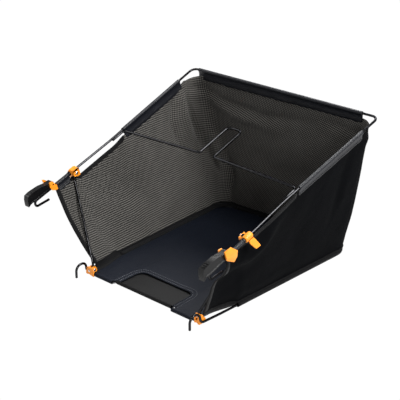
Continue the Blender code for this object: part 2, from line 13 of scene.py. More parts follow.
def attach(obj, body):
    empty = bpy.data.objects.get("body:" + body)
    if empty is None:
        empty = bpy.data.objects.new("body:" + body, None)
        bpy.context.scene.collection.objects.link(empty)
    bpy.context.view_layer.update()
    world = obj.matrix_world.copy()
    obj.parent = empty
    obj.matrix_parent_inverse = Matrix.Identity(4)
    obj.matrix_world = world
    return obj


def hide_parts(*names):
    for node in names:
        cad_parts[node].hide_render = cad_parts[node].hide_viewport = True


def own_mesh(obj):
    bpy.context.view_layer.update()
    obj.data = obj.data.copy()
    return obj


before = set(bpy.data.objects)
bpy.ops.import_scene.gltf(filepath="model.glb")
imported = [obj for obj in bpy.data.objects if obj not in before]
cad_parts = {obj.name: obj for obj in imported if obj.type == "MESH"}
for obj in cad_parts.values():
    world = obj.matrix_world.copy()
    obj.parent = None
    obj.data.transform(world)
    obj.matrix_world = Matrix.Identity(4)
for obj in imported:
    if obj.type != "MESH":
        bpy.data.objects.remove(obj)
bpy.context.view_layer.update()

# ---- Dimensions repeated from the CAD model ----
FRONT_Y = -0.2274
WIRE_R = 0.003
SIDES = (("left", -1), ("right", 1))
RAIL_TILT = math.radians(18.66)
RAIL_START = (-0.005, 0.215)
RAIL_HALF, RAIL_HALF_REAR = 0.281, 0.298
FLARE_START, RAIL_END = 0.19, 0.5435
HOOK_CORNERS = ((-0.0355, -0.0222), (-0.0765, -0.015), (-0.0765, 0.0))
HOOK_BEND = 0.0077
FLOOR_WIRE_Z, CROSS_WIRE_Z = 0.006, 0.0058
FRONT_HALF, REAR_HALF = 0.1925, 0.214
REAR_LENGTH, REAR_BOW, CORNER_R = 0.54, 0.013, 0.05
FLOOR_HOOK_X = 0.1885
PIN_Y, PIN_Z = 0.007, 0.012
STRUT_FOOT_X, STRUT_HEAD_X, STRUT_HEAD_S = 0.177, 0.2715, 0.055
PANEL_FOOT_Z = 0.0135


# ---- Places ----
def floor_point(x, y, z):
    return Vector((x, FRONT_Y + y, z))


def rail_half(s):
    spread = max(0.0, s - FLARE_START) / (RAIL_END - FLARE_START)
    return RAIL_HALF + (RAIL_HALF_REAR - RAIL_HALF) * spread


def rail_point(side, s, n=0.0, q=0.0):
    along, up = math.cos(RAIL_TILT), math.sin(RAIL_TILT)
    y, z = RAIL_START
    return floor_point(side * (rail_half(s) + q), y + s * along - n * up, z + s * up + n * along)


def floor_half(y):
    return FRONT_HALF + (REAR_HALF - FRONT_HALF) * y / REAR_LENGTH


def side_matrix(x, y, z, tilt=0.0):
    c, s = math.cos(tilt), math.sin(tilt)
    turn = Matrix(((0, 0, 1), (c, -s, 0), (s, c, 0))).to_4x4()
    return Matrix.Translation((x, y, z)) @ turn


def rail_matrix(side, q):
    origin = rail_point(side, 0.0)
    return side_matrix(side * (RAIL_HALF + q), origin.y, origin.z, RAIL_TILT)


def smooth_step(x, start, end):
    t = min(1.0, max(0.0, (x - start) / (end - start)))
    return t * t * (3 - 2 * t)


# ---- Materials ----
def base_material(name, colour, roughness, metallic=0.0, specular=0.5, sheen=0.0, edge=1.0):
    """A material with its node tree and shader. edge is the tint of what it reflects at a grazing angle."""
    made = bpy.data.materials.new(name)
    made.use_nodes = True
    shader = made.node_tree.nodes["Principled BSDF"]
    values = {
        "Base Color": (*colour, 1.0), "Roughness": roughness, "Metallic": metallic,
        "Specular IOR Level": specular, "Specular Tint": (edge, edge, edge, 1.0), "Sheen Weight": sheen,
    }
    for socket, value in values.items():
        shader.inputs[socket].default_value = value
    return made, made.node_tree, shader


def add_node(tree, kind, **settings):
    node = tree.nodes.new(kind)
    for key, value in settings.items():
        if key in node.inputs:
            node.inputs[key].default_value = value
        else:
            setattr(node, key, value)
    return node


def noise_of(tree, where, scale, detail=4.0, roughness=0.6):
    found = add_node(tree, "ShaderNodeTexNoise", Scale=scale, Detail=detail, Roughness=roughness)
    tree.links.new(where, found.inputs["Vector"])
    return found.outputs["Fac"]


def mixed_colour(tree, factor, first, second):
    mix = add_node(tree, "ShaderNodeMix", data_type="RGBA")
    tree.links.new(factor, mix.inputs["Factor"])
    for socket, value in ((mix.inputs[6], first), (mix.inputs[7], second)):
        if isinstance(value, tuple):
            socket.default_value = (*value, 1.0)
        else:
            tree.links.new(value, socket)
    return mix.outputs[2]


def paint(tree, shader, factor, first, second):
    tree.links.new(mixed_colour(tree, factor, first, second), shader.inputs["Base Color"])


def maths(tree, operation, first, second=None, third=None):
    node = tree.nodes.new("ShaderNodeMath")
    node.operation = operation
    for socket, value in zip(node.inputs, (first, second, third)):
        if isinstance(value, (int, float)):
            socket.default_value = value
        elif value is not None:
            tree.links.new(value, socket)
    return node.outputs[0]


def spread(tree, value, low, high, to_low=0.0, to_high=1.0):
    node = add_node(tree, "ShaderNodeMapRange")
    tree.links.new(value, node.inputs["Value"])
    for name, number in zip(("From Min", "From Max", "To Min", "To Max"), (low, high, to_low, to_high)):
        node.inputs[name].default_value = number
    return node.outputs["Result"]


def bump(tree, shader, height, distance, strength=1.0, before=None):
    node = add_node(tree, "ShaderNodeBump", Distance=distance, Strength=strength)
    tree.links.new(height, node.inputs["Height"])
    if before is not None:
        tree.links.new(before, node.inputs["Normal"])
    tree.links.new(node.outputs["Normal"], shader.inputs["Normal"])
    return node.outputs["Normal"]


def object_place(tree):
    return tree.nodes.new("ShaderNodeTexCoord").outputs["Object"]


def cloth_place(tree):
    return add_node(tree, "ShaderNodeUVMap", uv_map="cloth").outputs["UV"]


def threads(tree, pitch_across, pitch_along, bias=0.0):
    """Two sets of crossing threads: their heights, from 0 to 1, on the cloth's own map in metres.

    bias turns the threads, for cloth cut on a slant.
    """
    found = []
    split = tree.nodes.new("ShaderNodeSeparateXYZ")
    turned = add_node(tree, "ShaderNodeMapping", Rotation=(0.0, 0.0, bias))
    tree.links.new(cloth_place(tree), turned.inputs["Vector"])
    tree.links.new(turned.outputs["Vector"], split.inputs[0])
    for axis, pitch in ((0, pitch_across), (1, pitch_along)):
        wave = maths(tree, "SINE", maths(tree, "MULTIPLY", split.outputs[axis], 2 * math.pi / pitch))
        found.append(maths(tree, "MULTIPLY_ADD", wave, 0.5, 0.5))
    return found


def mesh_cloth():
    """Open-weave mesh: lighter brown-grey threads over dark holes."""
    made, tree, shader = base_material("mesh_cloth", (0.1, 0.1, 0.1), 0.85, specular=0.15, sheen=0.05)
    columns, lines = threads(tree, 0.0044, 0.0053, math.radians(17.0))
    weave = maths(tree, "MULTIPLY_ADD", lines, 0.62, maths(tree, "MULTIPLY", columns, 0.48))
    place = cloth_place(tree)
    cloudy = noise_of(tree, place, 14.0, 3.0)
    fibres = noise_of(tree, place, 420.0, 2.0)
    light = mixed_colour(tree, cloudy, (0.132, 0.125, 0.113), (0.222, 0.212, 0.195))
    share = spread(tree, weave, 0.35, 1.05)
    share = maths(tree, "MULTIPLY", share, spread(tree, fibres, 0.25, 0.75, 0.75, 1.0))
    paint(tree, shader, share, (0.004, 0.004, 0.004), light)
    bump(tree, shader, weave, 0.0006, 0.7)
    return made


def lining_cloth():
    """The bag's outside: close black cloth."""
    made, tree, shader = base_material("lining_cloth", (0.002, 0.002, 0.002), 0.75, specular=0.02)
    place = cloth_place(tree)
    cloudy = noise_of(tree, place, 9.0, 4.0)
    grain = noise_of(tree, place, 600.0, 2.0)
    paint(tree, shader, cloudy, (0.0012, 0.0013, 0.0016), (0.0036, 0.0039, 0.0048))
    columns, lines = threads(tree, 0.0012, 0.0012)
    height = maths(tree, "ADD", maths(tree, "MAXIMUM", columns, lines), grain)
    bump(tree, shader, height, 0.0002, 0.6)
    return made


def coated_cloth(name, dark, light, rough, gloss=0.1):
    """Tightly woven cloth with a coating, in navy black."""
    made, tree, shader = base_material(name, light, rough, specular=gloss)
    place = cloth_place(tree)
    cloudy = noise_of(tree, place, 11.0, 5.0, 0.65)
    paint(tree, shader, cloudy, dark, light)
    columns, lines = threads(tree, 0.0011, 0.0011)
    weave = maths(tree, "MAXIMUM", columns, lines)
    soft = noise_of(tree, place, 60.0, 3.0)
    first = bump(tree, shader, weave, 0.00012, 0.7)
    bump(tree, shader, soft, 0.0012, 0.5, first)
    roughness = spread(tree, cloudy, 0.2, 0.8, rough - 0.07, rough + 0.08)
    tree.links.new(roughness, shader.inputs["Roughness"])
    return made


def tape_cloth():
    """Ribbed black binding tape."""
    made, tree, shader = base_material("tape_cloth", (0.006, 0.006, 0.007), 0.75, specular=0.12, sheen=0.04)
    columns, lines = threads(tree, 0.0014, 0.0018)
    ribs = maths(tree, "ADD", columns, maths(tree, "MULTIPLY", lines, 0.4))
    paint(tree, shader, spread(tree, ribs, 0.0, 1.4), (0.0012, 0.0012, 0.0014), (0.0048, 0.0048, 0.0054))
    bump(tree, shader, ribs, 0.0002, 0.8)
    return made


def wire_coat():
    """Glossy black powder coat, with a slight orange peel."""
    made, tree, shader = base_material("wire_coat", (0.02, 0.02, 0.02), 0.22, metallic=1.0, edge=0.0)
    place = object_place(tree)
    peel = noise_of(tree, place, 900.0, 2.0)
    marks = noise_of(tree, place, 90.0, 6.0, 0.7)
    bump(tree, shader, peel, 0.000003, 0.3)
    tree.links.new(spread(tree, marks, 0.3, 0.75, 0.13, 0.18), shader.inputs["Roughness"])
    paint(tree, shader, spread(tree, marks, 0.55, 0.8), (0.034, 0.034, 0.036), (0.05, 0.05, 0.052))
    return made


def moulded(name, colour, rough, grain, specular):
    """Moulded plastic: fine spark-eroded grain, slightly uneven gloss and colour."""
    made, tree, shader = base_material(name, colour, rough, specular=specular)
    place = object_place(tree)
    fine = noise_of(tree, place, 1400.0, 3.0)
    broad = noise_of(tree, place, 55.0, 4.0)
    dark = tuple(c * 0.86 for c in colour)
    paint(tree, shader, spread(tree, broad, 0.3, 0.7), dark, colour)
    tree.links.new(spread(tree, broad, 0.3, 0.7, rough - 0.06, rough + 0.06), shader.inputs["Roughness"])
    bump(tree, shader, fine, grain, 0.6)
    return made


def stiff_sheet():
    """Stiff extruded sheet, with faint lines along its length."""
    made, tree, shader = base_material("stiff_sheet", (0.01, 0.01, 0.01), 0.55, specular=0.12)
    place = object_place(tree)
    stretch = add_node(tree, "ShaderNodeMapping", Scale=(30.0, 700.0, 30.0))
    tree.links.new(place, stretch.inputs["Vector"])
    lines = noise_of(tree, stretch.outputs[0], 1.0, 3.0)
    broad = noise_of(tree, place, 24.0, 4.0)
    paint(tree, shader, broad, (0.0035, 0.0035, 0.0037), (0.0068, 0.0067, 0.0068))
    bump(tree, shader, lines, 0.0002, 0.5)
    return made


def rivet_steel():
    made, tree, shader = base_material("rivet_steel", (0.7, 0.7, 0.72), 0.28, metallic=1.0)
    place = object_place(tree)
    scuffs = noise_of(tree, place, 500.0, 5.0, 0.7)
    tree.links.new(spread(tree, scuffs, 0.3, 0.8, 0.2, 0.42), shader.inputs["Roughness"])
    bump(tree, shader, scuffs, 0.00005, 0.5)
    return made


MESH = mesh_cloth()
LINING = lining_cloth()
NAVY = coated_cloth("navy_cloth", (0.0045, 0.006, 0.0105), (0.0072, 0.0094, 0.016), 0.58)
CHARCOAL = coated_cloth("sleeve_cloth", (0.0048, 0.0054, 0.008), (0.008, 0.009, 0.0125), 0.4, 0.3)
TAPE = tape_cloth()
WIRE = wire_coat()
ORANGE = moulded("orange_nylon", (0.96, 0.315, 0.02), 0.36, 0.00005, specular=0.35)
BLACK = moulded("black_nylon", (0.0045, 0.0045, 0.005), 0.3, 0.00004, specular=0.24)
STIFF = stiff_sheet()
STEEL = rivet_steel()
THREAD = moulded("sewing_thread", (0.125, 0.132, 0.15), 0.6, 0.00005, specular=0.2)


# ---- Building ----
def link(obj):
    bpy.context.scene.collection.objects.link(obj)
    return obj


def mesh_object(name, points, faces, materials, face_materials=None, uvs=None, smooth=True):
    mesh = bpy.data.meshes.new(name)
    mesh.from_pydata([tuple(p) for p in points], [], faces)
    for made in materials:
        mesh.materials.append(made)
    if face_materials:
        mesh.polygons.foreach_set("material_index", face_materials)
    mesh.polygons.foreach_set("use_smooth", [smooth] * len(mesh.polygons))
    if uvs:
        layer = mesh.uv_layers.new(name="cloth")
        for loop in mesh.loops:
            layer.data[loop.index].uv = uvs[loop.vertex_index]
    mesh.update()
    return link(bpy.data.objects.new(name, mesh))


def place(obj, body, *replaced, slot=None, squash=False):
    """Fix a piece to its body, in place of its CAD nodes."""
    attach(obj, body)
    if replaced:
        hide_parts(*replaced)
    if squash:
        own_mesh(obj)
    return obj


def grid_normals(rows):
    """Unit normals of a grid of points: the cross of the way along a row and the way to the next row."""
    normals = []
    for i, row in enumerate(rows):
        before, after = rows[max(0, i - 1)], rows[min(len(rows) - 1, i + 1)]
        line = []
        for j in range(len(row)):
            along = row[min(len(row) - 1, j + 1)] - row[max(0, j - 1)]
            across = after[j] - before[j]
            line.append(along.cross(across).normalized())
        normals.append(line)
    return normals


def grid_map(rows):
    """Distances along the middle column and each row, as a map of the cloth in metres."""
    middle = len(rows[0]) // 2
    across, total = [0.0], 0.0
    for row, after in zip(rows, rows[1:]):
        total += (after[middle] - row[middle]).length
        across.append(total)
    maps = []
    for i, row in enumerate(rows):
        line, run = [], 0.0
        for j, point in enumerate(row):
            run += (point - row[j - 1]).length if j else 0.0
            line.append((across[i], run))
        maps.append(line)
    return maps


def cloth(name, rows, thickness, materials, normals=None, offset=0.0):
    """A sheet of cloth with two faces and a rim. The first material is on the side the normals leave."""
    normals = normals or grid_normals(rows)
    maps = grid_map(rows)
    width, height = len(rows[0]), len(rows)
    points, uvs = [], []
    for sign in (1, -1):
        for row, line, where in zip(rows, normals, maps):
            points += [p + n * (offset + sign * thickness / 2) for p, n in zip(row, line)]
            uvs += where
    back = width * height
    faces, kinds = [], []
    for i in range(height - 1):
        for j in range(width - 1):
            a, b = i * width + j, (i + 1) * width + j
            faces.append((a, a + 1, b + 1, b))
            faces.append((back + a, back + b, back + b + 1, back + a + 1))
            kinds += [0, min(1, len(materials) - 1)]
    rim = [j for j in range(width)] + [i * width + width - 1 for i in range(1, height)]
    rim += [(height - 1) * width + j for j in range(width - 2, -1, -1)]
    rim += [i * width for i in range(height - 2, 0, -1)]
    for a, b in zip(rim, rim[1:] + rim[:1]):
        faces.append((a, a + back, b + back, b))
        kinds.append(0)
    return mesh_object(name, points, faces, materials, kinds, uvs)


def rounded_path(corners, radii, steps=14):
    path = [Vector(corners[0])]
    for before, corner, after, radius in zip(corners, corners[1:], corners[2:], radii):
        corner = Vector(corner)
        back = (Vector(before) - corner).normalized()
        on = (Vector(after) - corner).normalized()
        half = back.angle(on) / 2
        reach = radius / math.tan(half)
        centre = corner + (back + on).normalized() * radius / math.sin(half)
        first, last = corner + back * reach - centre, corner + on * reach - centre
        sweep = first.angle(last)
        for i in range(steps + 1):
            t = i / steps
            arc = first * math.sin((1 - t) * sweep) + last * math.sin(t * sweep)
            path.append(centre + arc / math.sin(sweep))
    path.append(Vector(corners[-1]))
    return path


def mirrored(right_half, bridge=()):
    left_half = [Vector((-p[0], p[1], p[2])) for p in reversed(right_half)]
    return [Vector(p) for p in right_half] + [Vector(p) for p in bridge] + left_half


def ring(centre, across, other, radius, sides):
    angles = [2 * math.pi * k / sides for k in range(sides)]
    return [centre + (across * math.cos(a) + other * math.sin(a)) * radius for a in angles]


def ring_faces(start, rings, sides):
    """The faces between rings of points, numbered from start, and the faces of both ends."""
    faces = []
    for first in range(start, start + (rings - 1) * sides, sides):
        for k in range(sides):
            a, b = first + k, first + (k + 1) % sides
            faces.append((a, b, b + sides, a + sides))
    last = start + (rings - 1) * sides
    return faces + [tuple(reversed(range(start, start + sides))), tuple(range(last, last + sides))]


def tube(name, path, radius, material, sides=20, ends=0.6):
    """A round wire along a path, with rounded ends."""
    path = [p for i, p in enumerate(path) if i == 0 or (p - path[i - 1]).length > 1e-5]
    ways = [(path[min(i + 1, len(path) - 1)] - path[max(i - 1, 0)]).normalized()
            for i in range(len(path))]
    stations = [(path[0] - ways[0] * radius * ends * 0.5, ways[0], 0.45), (path[0], ways[0], 0.86)]
    stations += [(path[0] + ways[0] * radius * 0.25, ways[0], 1.0)]
    stations += [(p, w, 1.0) for p, w in zip(path[1:-1], ways[1:-1])]
    stations += [(path[-1] - ways[-1] * radius * 0.25, ways[-1], 1.0), (path[-1], ways[-1], 0.86)]
    stations += [(path[-1] + ways[-1] * radius * ends * 0.5, ways[-1], 0.45)]
    across = ways[0].orthogonal().normalized()
    points = []
    for centre, way, share in stations:
        across = (across - way * across.dot(way)).normalized()
        points += ring(centre, across, way.cross(across), radius * share, sides)
    return mesh_object(name, points, ring_faces(0, len(stations), sides), [material])


# ---- Wires ----
def build_wires():
    right = [rail_point(1, *corner) for corner in HOOK_CORNERS]
    right += [rail_point(1, FLARE_START), rail_point(1, RAIL_END)]
    radii = [HOOK_BEND, HOOK_BEND, 0.15, 0.016]
    wire = tube("top_frame_rod", rounded_path(mirrored(right), radii + radii[::-1]), WIRE_R, WIRE)
    place(wire, "top_frame", "top_frame_wire", slot="black_wire")

    beside = -(2 * WIRE_R + 0.0001)
    right = [rail_point(1, 0.197, q=beside), rail_point(1, 0.241, q=beside),
             rail_point(1, 0.2485, 0.003), rail_point(1, 0.3605, 0.003)]
    for corner in right[2:]:
        corner.x = 0.0225
    radii = [0.01, 0.007, 0.012]
    handle = tube("handle_rod", rounded_path(mirrored(right), radii + radii[::-1]), WIRE_R, WIRE)
    place(handle, "top_frame", "handle_wire", slot="black_wire")

    floor = tube("floor_frame_rod", floor_wire_path(), WIRE_R, WIRE)
    place(floor, "lower_frame", "floor_frame_wire", slot="black_wire")
    right = [floor_point(x, y, CROSS_WIRE_Z) for x, y in ((0.1695, 0.0), (0.0985, 0.0), (0.0925, 0.009))]
    cross = tube("front_cross_rod", rounded_path(mirrored(right), [0.004] * 4), WIRE_R, WIRE)
    place(cross, "lower_frame", "front_cross_wire", slot="black_wire")


def floor_wire_path():
    z = FLOOR_WIRE_Z
    corners = [
        (FLOOR_HOOK_X, -0.036, 0.001), (FLOOR_HOOK_X, -0.036, 0.0325), (FLOOR_HOOK_X, -0.0045, 0.0325),
        (FRONT_HALF - 0.002, -0.001, z), (floor_half(0.06), 0.06, z), (REAR_HALF, REAR_LENGTH, z),
    ]
    corners = mirrored([floor_point(*c) for c in corners],
                       bridge=[floor_point(0, REAR_LENGTH + REAR_BOW, z)])
    radii = [0.0154, 0.0154, 0.0105, 0.05, CORNER_R, 1.0, CORNER_R, 0.05, 0.0105, 0.0154, 0.0154]
    return rounded_path(corners, radii)


build_wires()

# ---- The bag's wall: one sheet round the left side, the back and the right side ----
SIDE_STEPS = 96
WALL_T, MIDDLE_STEPS = 0.0012, 44
PANEL_S = (-0.009, 0.496)
PANEL_FOOT_Y = (0.019, 0.497)
TOP_CORNER_R = 0.044
FOOT_CORNER_R = 0.038


def top_drop(s):
    """How far below the rail the wall's top edge hangs."""
    tucked = 0.0105
    loose = 0.019 - 0.001 * smooth_step(s, 0.06, 0.19)
    drop = tucked + (loose - tucked) * smooth_step(s, 0.052, 0.072)
    drop += (0.0135 - loose) * smooth_step(s, 0.196, 0.244)
    drop -= 0.004 * smooth_step(s, 0.474, 0.495)
    return drop


def foot_lift(y):
    """The wall's lower edge rises clear of the bare wire near the front."""
    return 0.008 * (1 - smooth_step(y, 0.095, 0.12))


def front_pull(y):
    """How far the cloth is drawn in from the bare wire near the front."""
    return 0.012 * (1 - smooth_step(y, 0.04, 0.118))


def side_foot(side, u):
    y = PANEL_FOOT_Y[0] + (PANEL_FOOT_Y[1] - PANEL_FOOT_Y[0]) * u
    return floor_point(side * (floor_half(y) - 0.0002 - front_pull(y)), y, PANEL_FOOT_Z + foot_lift(y))


def wall_stations():
    """Top and lower edge points, and the share towards the rear, from the right front to the left front."""
    stations = []
    for i in range(SIDE_STEPS + 1):
        u = i / SIDE_STEPS
        s = PANEL_S[0] + (PANEL_S[1] - PANEL_S[0]) * u
        down = (side_foot(1, u) - rail_point(1, s)).normalized()
        stations.append((rail_point(1, s) + down * top_drop(s), side_foot(1, u), u))
    corner = (RAIL_END - 0.001, -0.014)
    top_edge = [rail_point(1, PANEL_S[1], -0.0095), rail_point(1, *corner), rail_point(1, *corner)]
    for point, x in zip(top_edge, (rail_half(PANEL_S[1]) - 0.0055, RAIL_HALF_REAR - 0.0075, 0.245)):
        point.x = x
    top_arc = rounded_path(top_edge, [TOP_CORNER_R], steps=16)
    foot_edge = [side_foot(1, 1.0), floor_point(REAR_HALF - 0.0018, REAR_LENGTH + 0.001, PANEL_FOOT_Z),
                 floor_point(0.14, REAR_LENGTH + 0.0055, PANEL_FOOT_Z)]
    foot_arc = rounded_path(foot_edge, [FOOT_CORNER_R], steps=16)
    stations += [(top, foot, 1.0) for top, foot in zip(top_arc[1:-1], foot_arc[1:-1])]
    last_top, last_foot = top_arc[-2], foot_arc[-2]
    for i in range(1, MIDDLE_STEPS + 1):
        t = i / MIDDLE_STEPS
        top = Vector((last_top.x * (1 - t), last_top.y, last_top.z))
        bow = (REAR_LENGTH + 0.0075 - 0.01 * (1 - t) ** 2) + FRONT_Y
        foot_y = last_foot.y + (bow - last_foot.y) * min(1.0, t * 4)
        stations.append((top, Vector((last_foot.x * (1 - t), foot_y, PANEL_FOOT_Z)), 1.0))
    flip = Vector((-1, 1, 1))
    return stations + [(top * flip, foot * flip, u) for top, foot, u in reversed(stations[:-1])]


# Folds in the cloth: a line of (distance from the middle of the back, share down), and width and depth
# in metres. Positive distances are on the right. A positive depth pushes the cloth outwards.
FOLDS = [
    # the loose corner on the left: two creases that fan out from the top, and the swell between them
    ([(-0.33, 0.02), (-0.352, 0.2), (-0.345, 0.38), (-0.325, 0.52)], 0.01, 0.01),
    ([(-0.3, 0.02), (-0.308, 0.22), (-0.3, 0.42)], 0.016, -0.015),
    ([(-0.285, 0.14), (-0.275, 0.34), (-0.262, 0.52), (-0.24, 0.72)], 0.011, 0.014),
    ([(-0.235, 0.5), (-0.232, 0.7), (-0.245, 0.86)], 0.022, -0.018),
    ([(-0.205, 0.62), (-0.2, 0.78), (-0.225, 0.92)], 0.012, 0.013),
    # swags under the rear sleeve
    ([(-0.27, 0.05), (-0.18, 0.17), (-0.06, 0.2), (0.08, 0.15)], 0.012, 0.009),
    ([(-0.25, 0.13), (-0.15, 0.25), (-0.03, 0.28)], 0.016, -0.009),
    ([(0.11, 0.09), (0.19, 0.13), (0.26, 0.1)], 0.014, 0.006),
    ([(-0.12, 0.55), (-0.02, 0.62), (0.11, 0.6)], 0.03, 0.004),
    # the right side's slack top edge, between the connector and the sleeve
    ([(0.8, 0.16), (0.72, 0.22), (0.64, 0.2), (0.59, 0.08)], 0.03, 0.016),
    ([(0.77, 0.42), (0.69, 0.5), (0.6, 0.46)], 0.03, -0.006),
    ([(0.56, 0.3), (0.5, 0.52), (0.47, 0.8)], 0.03, -0.004),
    ([(0.33, 0.05), (0.345, 0.3), (0.36, 0.62)], 0.016, -0.005),
    ([(0.74, 0.8), (0.6, 0.87), (0.42, 0.88)], 0.02, 0.004),
    # the left side
    ([(-0.62, 0.35), (-0.52, 0.55), (-0.43, 0.7)], 0.04, 0.004),
    ([(-0.78, 0.3), (-0.7, 0.48)], 0.03, 0.003),
]


def distance_to_line(point, line):
    best, share = 1e9, 0.0
    count = len(line) - 1
    for k, (a, b) in enumerate(zip(line, line[1:])):
        way = b - a
        t = min(1.0, max(0.0, (point - a).dot(way) / way.length_squared))
        away = (point - (a + way * t)).length
        if away < best:
            best, share = away, (k + t) / count
    return best, share


def fold_push(run, down, height):
    """How far the folds push the cloth outwards at a place on the wall."""
    here = Vector((run, down * height))
    push = 0.0
    for line, width, depth in FOLDS:
        scaled = [Vector((x, v * height)) for x, v in line]
        away, share = distance_to_line(here, scaled)
        if away < width * 3.2:
            fade = math.sin(math.pi * min(1.0, max(0.0, 0.08 + 0.84 * share))) ** 0.7
            push += depth * fade * math.exp(-(away / width) ** 2)
    return push


def wall_rows():
    """The wall as columns of points from the top edge down, with its normals pointing outwards."""
    stations = wall_stations()
    middles = [(station[0] + station[1]) / 2 for station in stations]
    runs, total = [0.0], 0.0
    for a, b in zip(middles, middles[1:]):
        total += (b - a).length
        runs.append(total)
    centre = runs[len(runs) // 2]
    downs = [0.0, 0.012, 0.025, 0.04] + [0.04 + 0.92 * (i + 1) / 44 for i in range(44)]
    downs += [0.975, 0.988, 1.0]
    columns = []
    for top, foot, u in stations:
        column = []
        for down in downs:
            point = top.lerp(foot, down)
            if u < 1.0:
                point.y = top.y + (foot.y - top.y) * down ** (2 - u)
            column.append(point)
        columns.append(column)
    normals = grid_normals(columns)
    for column, line, run in zip(columns, normals, runs):
        height = (column[0] - column[-1]).length
        place_run = centre - run
        for j, down in enumerate(downs):
            held = smooth_step(down, 0.0, 0.1) * (1 - smooth_step(down, 0.93, 1.0))
            slack = 1.0 if 0.56 < abs(place_run) < 0.8 else 0.0
            push = fold_push(place_run, down, height) * max(held, 0.35 * slack * (1 - down))
            ripple = noise.noise(Vector((place_run * 14, down * height * 9, 3.1))) * 0.0022
            fine = noise.noise(Vector((place_run * 45, down * height * 38, 7.7))) * 0.0006
            from_front = centre - abs(place_run)
            belly = 0.006 * math.sin(math.pi * down) * smooth_step(from_front, 0.0, 0.12)
            column[j] = column[j] + line[j] * (push + (ripple + fine + belly) * held)
    return columns


WALL = wall_rows()
WALL_NORMALS = grid_normals(WALL)


def build_wall():
    wall = cloth("bag_wall", WALL, WALL_T, [LINING, MESH], WALL_NORMALS)
    place(wall, "lower_frame", "side_panel_left", "side_panel_right", "back_panel", slot="mesh_fabric",
          squash=True)


build_wall()

# ---- Sewn tapes, sleeves and the floor ----
STITCH_PITCH, STITCH_LENGTH, STITCH_R = 0.0058, 0.0036, 0.0008


def edge_tape(name, lines, normals, lift, nose):
    """A tape folded over an edge: lines run from inside the cloth out to its edge."""
    over = [[p + n * lift for p, n in zip(line, row)] for line, row in zip(lines, normals)]
    under = [[p - n * lift for p, n in zip(line, row)] for line, row in zip(lines, normals)]
    tip = [a + (a - b).normalized() * nose for a, b in zip(lines[-1], lines[-2])]
    sections = over + [tip] + under[::-1]
    return cloth(name, sections, 0.0007, [TAPE])


def stitches(name, path, body, material=THREAD, squash=False):
    """One seam: short stitches along a path, in one mesh."""
    points, faces = [], []
    run, target = 0.0, STITCH_PITCH / 2
    for a, b in zip(path, path[1:]):
        step = (b - a).length
        while target < run + step:
            way = (b - a).normalized()
            centre = a + way * (target - run)
            across = way.cross(Vector((0, 0, 1))).normalized()
            up = across.cross(way)
            faces += ring_faces(len(points), 4, 5)
            for share, size in ((-0.5, 0.35), (-0.3, 1.0), (0.3, 1.0), (0.5, 0.35)):
                points += ring(centre + way * STITCH_LENGTH * share, across, up, STITCH_R * size, 5)
            target += STITCH_PITCH
        run += step
    seam = mesh_object(name, points, faces, [material])
    return place(seam, body, squash=squash)


def sleeve_section(middle, tail, across, depth, radius, leg, steps=12):
    """A fold of cloth round a wire: up one side, over the wire, down the other and sewn together."""
    neck = min(radius * 1.75, depth * 0.9)
    flat = [neck + (depth - neck) * t for t in (1.0, 0.75, 0.5, 0.25)]
    points = [middle + tail * reach - across * leg for reach in flat]
    points.append(middle + tail * neck - across * leg * 1.5)
    for i in range(steps + 1):
        angle = math.radians(-148 + 296 * i / steps)
        points.append(middle - tail * radius * math.cos(angle) + across * radius * math.sin(angle))
    points.append(middle + tail * neck + across * leg * 1.5)
    return points + [middle + tail * reach + across * leg for reach in reversed(flat)]


def sleeve(name, middles, tails, depth, material, radius=0.0044, leg=0.0008, waviness=0.0007, corners=0.0):
    """A sewn sleeve along a wire. The lower corners are rounded off by corners."""
    rows = []
    count = len(middles) - 1
    total = sum((b - a).length for a, b in zip(middles, middles[1:]))
    run = 0.0
    for i, (middle, tail) in enumerate(zip(middles, tails)):
        run += (middle - middles[i - 1]).length if i else 0.0
        along = (middles[min(i + 1, count)] - middles[max(i - 1, 0)]).normalized()
        tail = (tail - along * tail.dot(along)).normalized()
        end = min(run, total - run)
        short = corners - math.sqrt(max(0.0, corners ** 2 - (corners - end) ** 2)) if end < corners else 0.0
        wave = noise.noise(middle * 38.0) * waviness
        section = sleeve_section(middle, tail, along.cross(tail), depth - short + wave, radius, leg)
        for k, point in enumerate(section):
            sway = noise.noise(Vector((run * 55.0, k * 0.35, depth * 90.0))) * waviness * 0.6
            point += along.cross(tail) * sway * min(1.0, (point - middle).length / depth)
        rows.append(section)
    return cloth(name, rows, 0.0009, [material])


def rail_way(side, s):
    """From the rail towards the foot of the wall below it."""
    u = (s - PANEL_S[0]) / (PANEL_S[1] - PANEL_S[0])
    return (side_foot(side, min(1.0, max(0.0, u))) - rail_point(side, s)).normalized()


def spaced(start, end, steps):
    return [start + (end - start) * i / steps for i in range(steps + 1)]


def seam_beside(middles, tails, across_sign, depth, leg):
    """The line of a seam on one face of a sleeve."""
    found = []
    for i, (middle, tail) in enumerate(zip(middles, tails)):
        along = (middles[min(i + 1, len(middles) - 1)] - middles[max(i - 1, 0)]).normalized()
        tail = (tail - along * tail.dot(along)).normalized()
        found.append(middle + tail * depth + along.cross(tail) * across_sign * leg)
    return found


def sewn_sleeve(name, seam_name, node, middles, tails, depth, length, seam_depth, leg, **shape):
    """A sleeve on the top frame, with a seam along each face."""
    made = sleeve(name, middles, tails, depth, CHARCOAL, **shape)
    place(made, "top_frame", node, slot="coated_fabric")
    for face in (-1, 1):
        seam = seam_beside(middles[1:-1], tails[1:-1], face, seam_depth, leg)
        stitches(seam_name + "ab"[face > 0], seam, "top_frame", TAPE)


